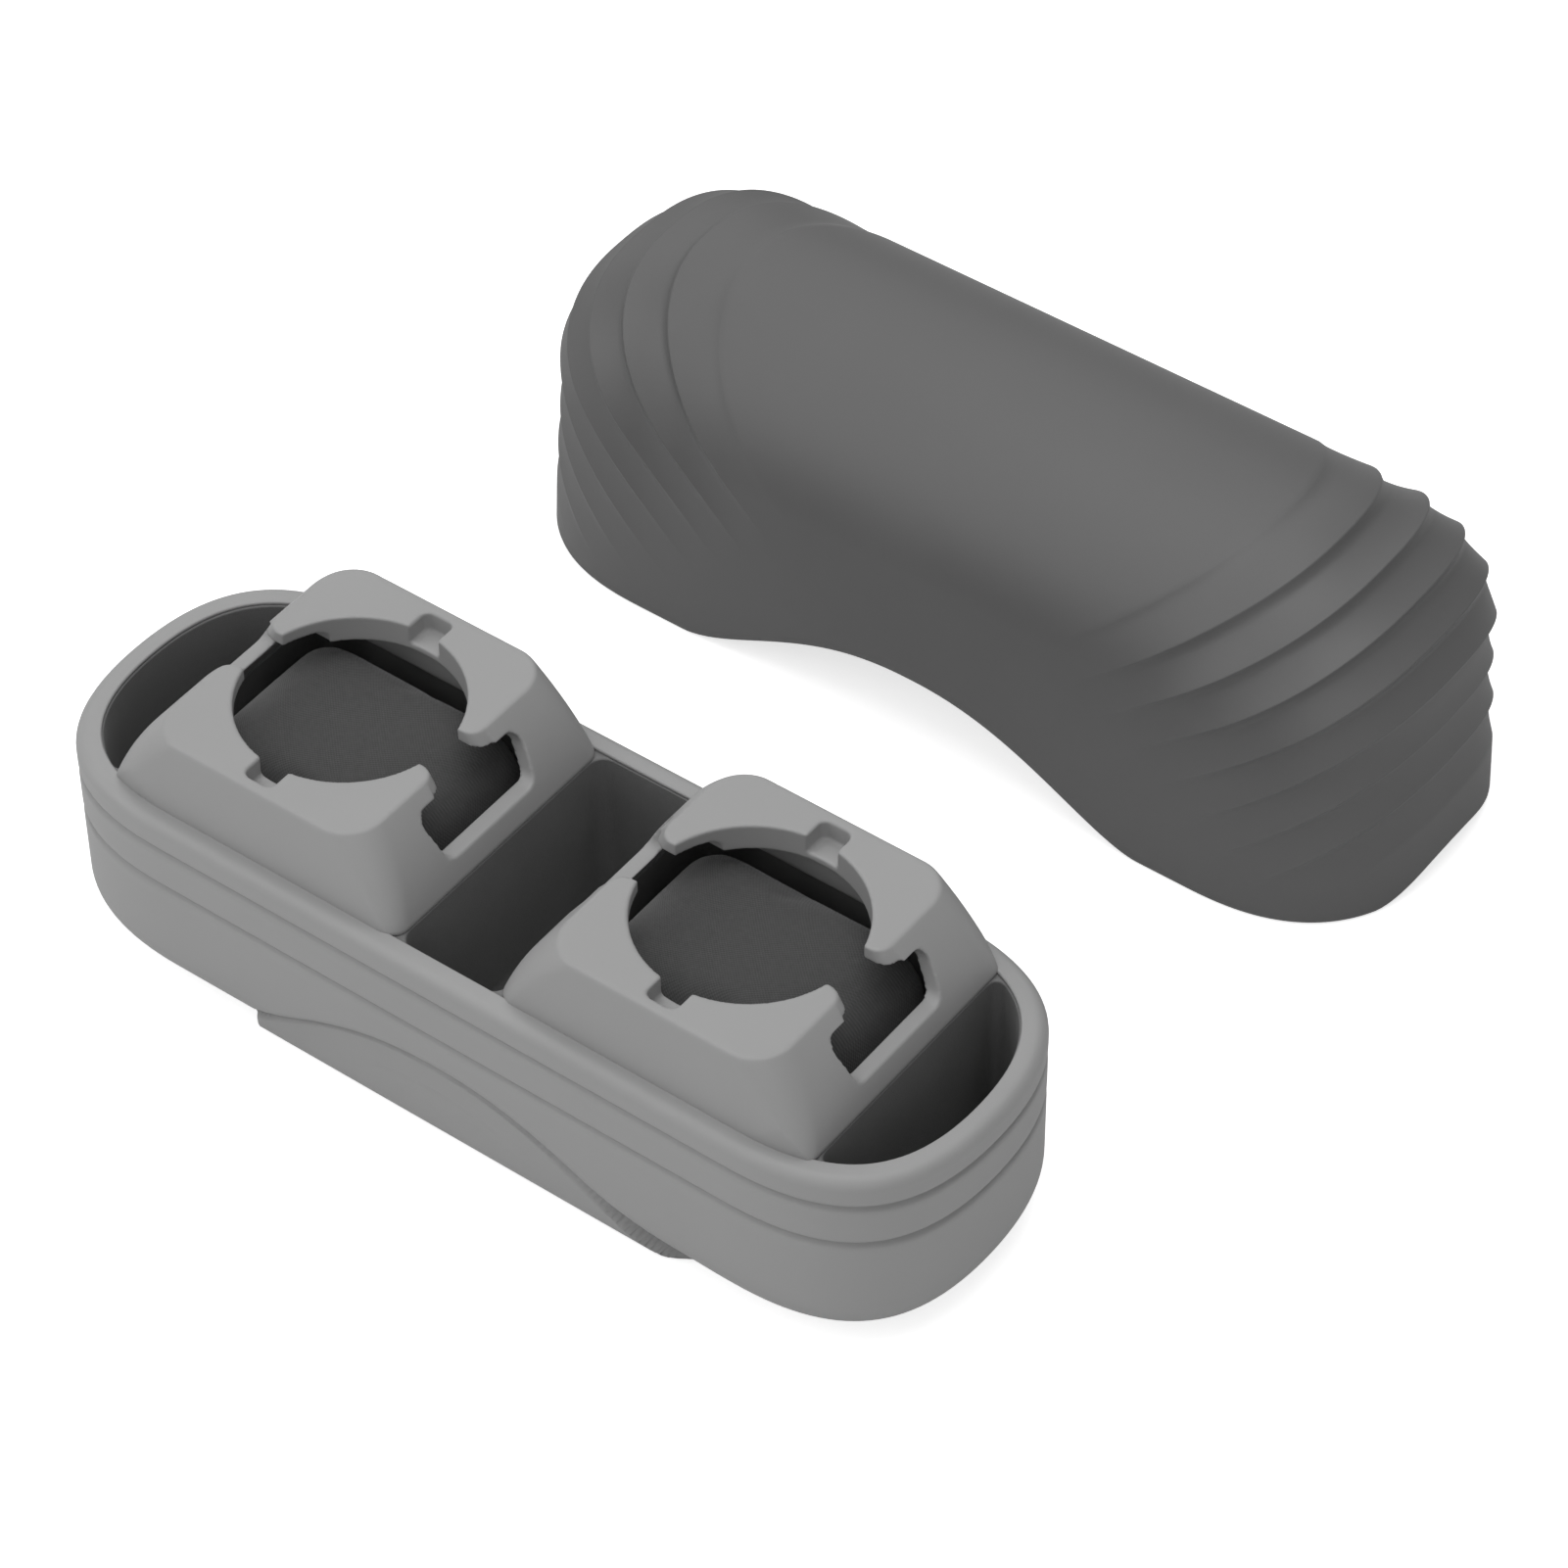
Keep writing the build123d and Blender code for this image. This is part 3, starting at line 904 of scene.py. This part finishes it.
def row_levels():
    """Plane levels from the first step to the tip, closer together at each nose."""
    levels = [first_step_level + first_row_lead]
    for number in range(step_count):
        top = first_step_level - number * step_spacing
        for step in range(rows_per_step):
            levels.append(top - step_spacing * (1 - cos(step / rows_per_step * pi)) / 2)
    for rise, _ in quarter_turn(tip_rows):
        if rise > 0:
            foot_x = straight + lid_end_reach * rise ** (2 / end_power)
            levels.append(lid_wall / 2 - step_slope * foot_x)
    levels.sort(reverse=True)
    kept = [levels[0]]
    for level in levels[1:-1]:
        if kept[-1] - level > least_row_gap:
            kept.append(level)
    return kept + [levels[-1]]


right_rows = [lid_row(level) for level in row_levels()]
left_rows = [[(-x, y, z) for x, y, z in row] for row in right_rows]
middle_rows = [[(x * share, y, z) for x, y, z in right_rows[0]] for share in middle_row_shares]
lid_rows = left_rows[::-1] + middle_rows + right_rows
lid_points = [Vector(point) * MM for row in lid_rows for point in row]
lid_ring = len(right_rows[0])
satin_lid = moulded_plastic("lid_satin_grey", 99, 0.5)
lid_mesh = bpy.data.meshes.new("lid_dome")
lid_mesh.from_pydata(lid_points, [], loft_faces(len(lid_rows), lid_ring))
skin = lid_mesh.attributes.new("skin", "FLOAT", "POINT")
outside = [float(column <= 2 * outer_columns) for column in range(lid_ring)]
skin.data.foreach_set("value", outside * len(lid_rows))
tidy_mesh(lid_mesh)
lid = new_object("lid_dome", lid_mesh)


def group_input(group, name, kind, value=None):
    """Add one named input to a modifier's tree and return its identifier."""
    socket = group.interface.new_socket(name, in_out="INPUT", socket_type=kind)
    if value is not None:
        socket.default_value = value
    return socket.identifier


def shingle_depth(tree, given):
    """How far each point of the skin sinks, by its place between two tilted planes."""
    place = tree.node("GeometryNodeInputPosition")
    z = place.axis("Z")
    reach = place.axis("X").taken("ABSOLUTE")
    below = (given["First Level"] - z + given["Slope"] * reach) / given["Spacing"]
    number = below.taken("FLOOR")
    share = below - number
    later = number.clamped()
    inside = (number + 1).clamped() * (given["Last Step"] + 1 - number).clamped()
    strength = (1 - later) * first_step_share + later * next_step_share ** (number - 1)
    drop_share = given["Drop"] / given["Spacing"]
    fallen = 1 - (1 - (share / drop_share).clamped()) ** 2
    climb = 1 - ((share - drop_share) / (1 - drop_share)).clamped() ** 2
    past = reach - given["Fade Start"] - given["Fade Step"] * number
    fade = (past / given["Fade Run"]).eased()
    rim = ((z - given["Rim Fade"] * rim_fade_lead) / given["Rim Fade"]).eased()
    skin_share = tree.node(
        "GeometryNodeInputNamedAttribute", {"data_type": "FLOAT"}, {"Name": "skin"}
    )
    return given["Depth"] * strength * fallen * climb * fade * rim * inside * skin_share


def shingle_tree():
    """Sink the outer skin in hollow bands between the planes z = slope * |x| + level."""
    group = bpy.data.node_groups.new("lid_shingles", "GeometryNodeTree")
    group.interface.new_socket("Geometry", in_out="OUTPUT", socket_type="NodeSocketGeometry")
    names = {"Geometry": group_input(group, "Geometry", "NodeSocketGeometry")}
    for name in (
        "Slope", "First Level", "Spacing", "Depth", "Drop", "Last Step", "Fade Start",
        "Fade Step", "Fade Run", "Rim Fade",
    ):
        names[name] = group_input(group, name, "NodeSocketFloat", 0.0)
    names["Material"] = group_input(group, "Material", "NodeSocketMaterial")
    tree = Tree(group)
    held = tree.node("NodeGroupInput")
    given = {socket.name: Term(tree, socket) for socket in held.socket.node.outputs}
    normal = tree.node("GeometryNodeInputNormal")
    inwards = shingle_depth(tree, given) * -1
    offset = tree.node(
        "ShaderNodeVectorMath", {"operation": "SCALE"}, {0: normal, "Scale": inwards}
    )
    moved = tree.node(
        "GeometryNodeSetPosition", {}, {"Geometry": given["Geometry"], "Offset": offset}
    )
    real = tree.node("GeometryNodeRealizeInstances", {}, {"Geometry": moved})
    dressed = tree.node(
        "GeometryNodeSetMaterial", {}, {"Geometry": real, "Material": given["Material"]}
    )
    tree.node("NodeGroupOutput", {}, {"Geometry": dressed})
    return group, names


group, names = shingle_tree()
shingles = lid.modifiers.new("shingles", "NODES")
shingles.node_group = group
for name, value in {
    "Slope": step_slope,
    "First Level": first_step_level * MM,
    "Spacing": step_spacing * MM,
    "Depth": step_depth * MM,
    "Drop": step_drop * MM,
    "Last Step": float(step_count - 1),
    "Fade Start": fade_start * MM,
    "Fade Step": fade_step * MM,
    "Fade Run": fade_run * MM,
    "Rim Fade": rim_fade * MM,
    "Material": satin_lid,
}.items():
    shingles[names[name]] = value
with_modifiers(lid)
lid.data.transform(Matrix.Translation(Vector((lid_x, lid_y, 0)) * MM))
lid.data.shade_smooth()
finished(lid, "lid", "lid_grey", "lid_shell")


# Crown pad: a thin sheet of foam with a dark flocked face, cut to an oval, bent to the
# curve of the dome and glued under its ceiling.
pad_gap = 0.3
pad_thickness = 1.2
pad_edge_level = 60.0
pad_steps = 12
pad_bend_steps = 16


def pad_rows():
    """Rings up the outer face of the pad, over the top and down its inner face."""
    half = lid_half_width - lid_wall - draft_share * shoulder_level
    end = lid_end_reach - lid_wall - draft_share * shoulder_level
    rise = crown_rise - crown_wall
    turns = list(quarter_turn(pad_steps))
    rows = []
    for drop, steps in ((pad_gap, turns), (pad_gap + pad_thickness, turns[::-1])):
        low = (pad_edge_level - shoulder_level + drop) / rise
        for climbed, _ in steps:
            climb = low + (1 - low) * climbed
            spread = sqrt(max(1 - climb * climb, 0))
            rows.append((half * spread, end * spread, shoulder_level + rise * climb - drop))
    return rows + rows[:1]


pad_points = [
    (x + lid_x, y + lid_y, z)
    for row in pad_rows()
    for x, y, z in oval_ring(*row, block_side_steps, pad_bend_steps)
]
pad_faces = loft_faces(len(pad_rows()), 2 * (block_side_steps + 2 * pad_bend_steps))
pad_mesh = new_mesh("crown_pad", pad_points, pad_faces, dark_flock)
crown_pad = finished(new_object("crown_pad", pad_mesh), "lid", "lining", "lid_pad")


# Studio: a pale floor that shows white to the camera, a faint sky and four softboxes:
# the main one straight above, two in front and one behind on the left.
floor_reach = 3.0
softbox_size = 1.0
light_target = Vector((0, 0.05, 0))
floor_mesh = bpy.data.meshes.new("studio_floor")
floor_mesh.from_pydata(
    [(x * floor_reach, y * floor_reach, 0) for x, y in ((-1, -1), (1, -1), (1, 1), (-1, 1))],
    [],
    [(0, 1, 2, 3)],
)
floor_material, tree = new_material("pale_floor")
camera_ray = tree.node("ShaderNodeLightPath", output="Is Camera Ray")
close_surface(tree, {
    "Base Color": grey(238),
    "Roughness": 0.9,
    "Emission Color": camera_ray * 0.7,
    "Emission Strength": 1.0,
})
floor_mesh.materials.append(floor_material)
studio_floor = new_object("studio_floor", floor_mesh)

world = bpy.data.worlds.new("studio")
bpy.context.scene.world = world
world.use_nodes = True
world.node_tree.nodes.clear()
tree = Tree(world.node_tree)
camera_ray = tree.node("ShaderNodeLightPath", output="Is Camera Ray")
sky = tree.node(
    "ShaderNodeBackground", {}, {"Color": (1, 1, 1, 1), "Strength": camera_ray * 0.75 + 0.25}
)
tree.node("ShaderNodeOutputWorld", {}, {"Surface": sky})

for name, spot, watts in (
    ("softbox_over", (0.0, 0.05, 1.25), 6.6),
    ("softbox_front_left", (-0.75, -0.7, 0.8), 4.4),
    ("softbox_front_right", (0.55, -0.8, 0.8), 2.2),
    ("softbox_back_left", (-0.7, 0.8, 0.8), 2.7),
):
    light = bpy.data.lights.new(name, "AREA")
    light.shape = "SQUARE"
    light.size = softbox_size
    light.energy = watts
    softbox = new_object(name, light)
    softbox.location = spot
    aim = light_target - softbox.location
    softbox.rotation_euler = aim.to_track_quat("-Z", "Y").to_euler()

# Camera: matched to the photograph's straight and round edges.
azimuth, elevation, roll = radians(37.049), radians(45.238), radians(-0.549)
right = Vector((cos(azimuth), sin(azimuth), 0))
back = Vector((sin(azimuth) * cos(elevation), -cos(azimuth) * cos(elevation), sin(elevation)))
up = back.cross(right)
axes = Matrix((right * cos(roll) + up * sin(roll), up * cos(roll) - right * sin(roll), back))
camera_data = bpy.data.cameras.new("camera")
camera_data.sensor_width = 36.0
camera_data.lens = 131.83
camera = new_object("camera", camera_data)
place = Matrix.Translation(Vector((480.8, -564.4, 814.9)) * MM)
camera.matrix_world = place @ axes.transposed().to_4x4()
bpy.context.scene.camera = camera
bpy.context.scene.view_settings.view_transform = "Standard"
